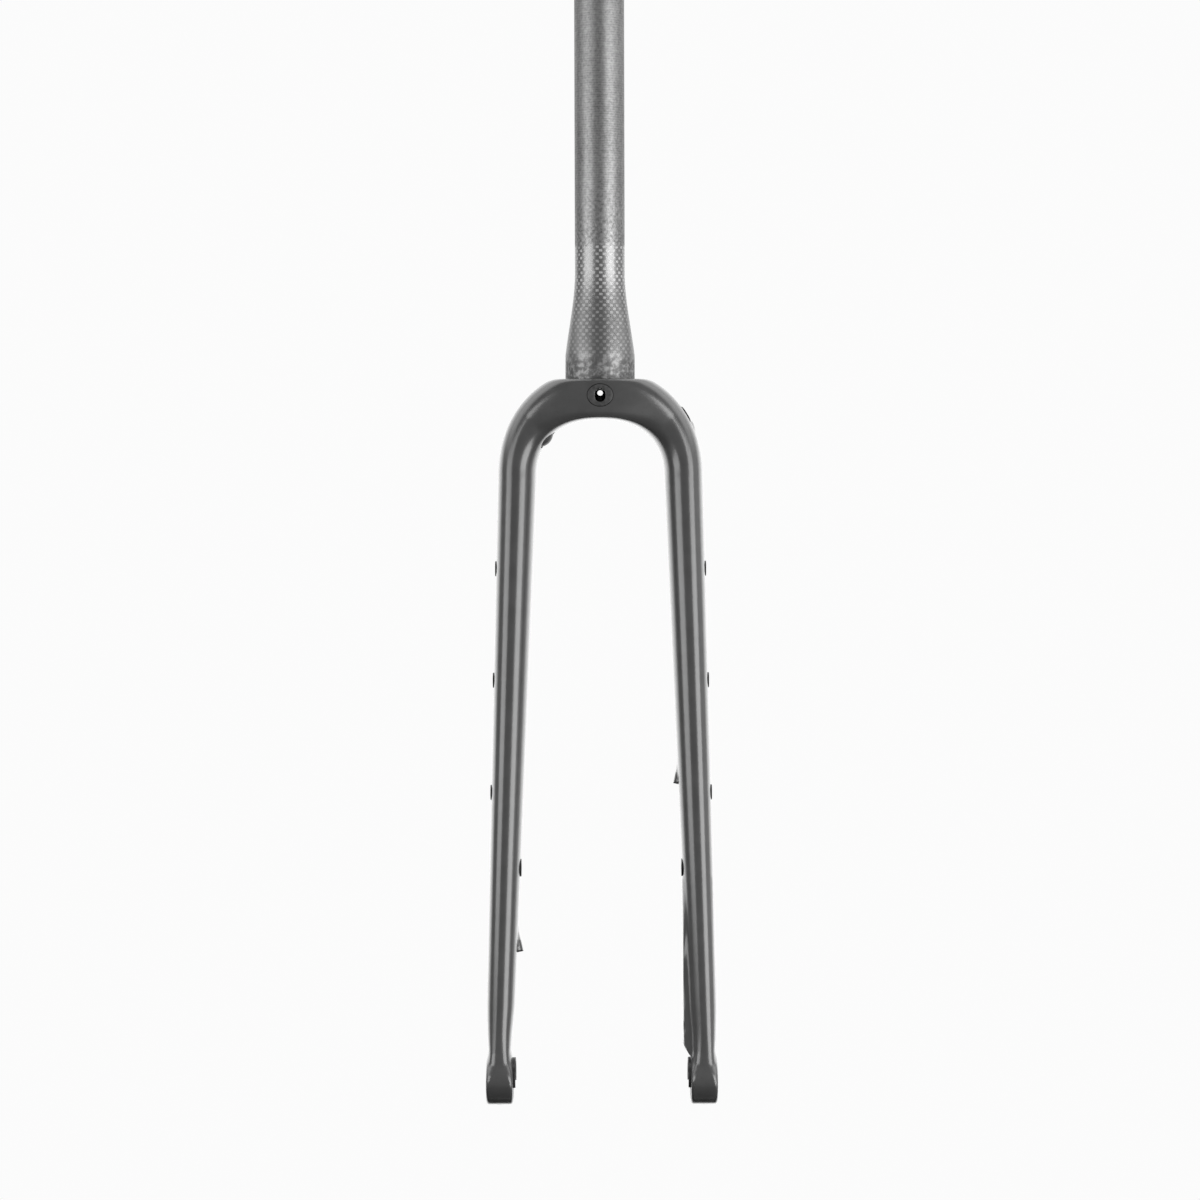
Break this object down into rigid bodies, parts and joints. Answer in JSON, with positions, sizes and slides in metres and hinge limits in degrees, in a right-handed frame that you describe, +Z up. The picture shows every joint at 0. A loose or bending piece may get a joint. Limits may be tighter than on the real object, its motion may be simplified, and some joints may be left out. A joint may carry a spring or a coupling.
{
  "type": "rigid bicycle fork",
  "caption": "one-piece moulded fork with a tapered steerer, two straight blades, thru-axle dropouts, flat brake mount, cage bosses and inside routing",
  "frame": {"origin": "on the steerer axis, at the crown shelf where the lower headset bearing sits", "axes": "+Z up the steerer, -Y forward, +X to the rider's left, the disc brake side"},
  "size_m": [0.1304, 0.0931, 0.7095],
  "materials": {
    "moulded_carbon": "satin dark grey lacquer on crown and blades, bare woven carbon fibre on the steerer",
    "black_anodised_metal": "black anodised, fine turned",
    "insert_composite": "satin dark grey",
    "soft_rubber": "matt black"
  },
  "bodies": {
    "root": {"fork_body": "moulded_carbon", "left_cage_insert_top": "black_anodised_metal", "left_cage_insert_middle": "black_anodised_metal", "left_cage_insert_bottom": "black_anodised_metal", "right_cage_insert_top": "black_anodised_metal", "right_cage_insert_middle": "black_anodised_metal", "right_cage_insert_bottom": "black_anodised_metal", "left_mudguard_insert": "black_anodised_metal", "right_mudguard_insert": "black_anodised_metal", "brake_insert_upper": "black_anodised_metal", "brake_insert_lower": "black_anodised_metal", "axle_bush": "black_anodised_metal", "axle_thread_insert": "black_anodised_metal", "crown_front_insert": "insert_composite", "crown_rear_insert": "insert_composite", "hose_entry_grommet": "soft_rubber", "hose_exit_grommet": "soft_rubber", "cable_entry_plug": "soft_rubber", "cable_exit_plug": "soft_rubber"}
  },
  "joints": []
}
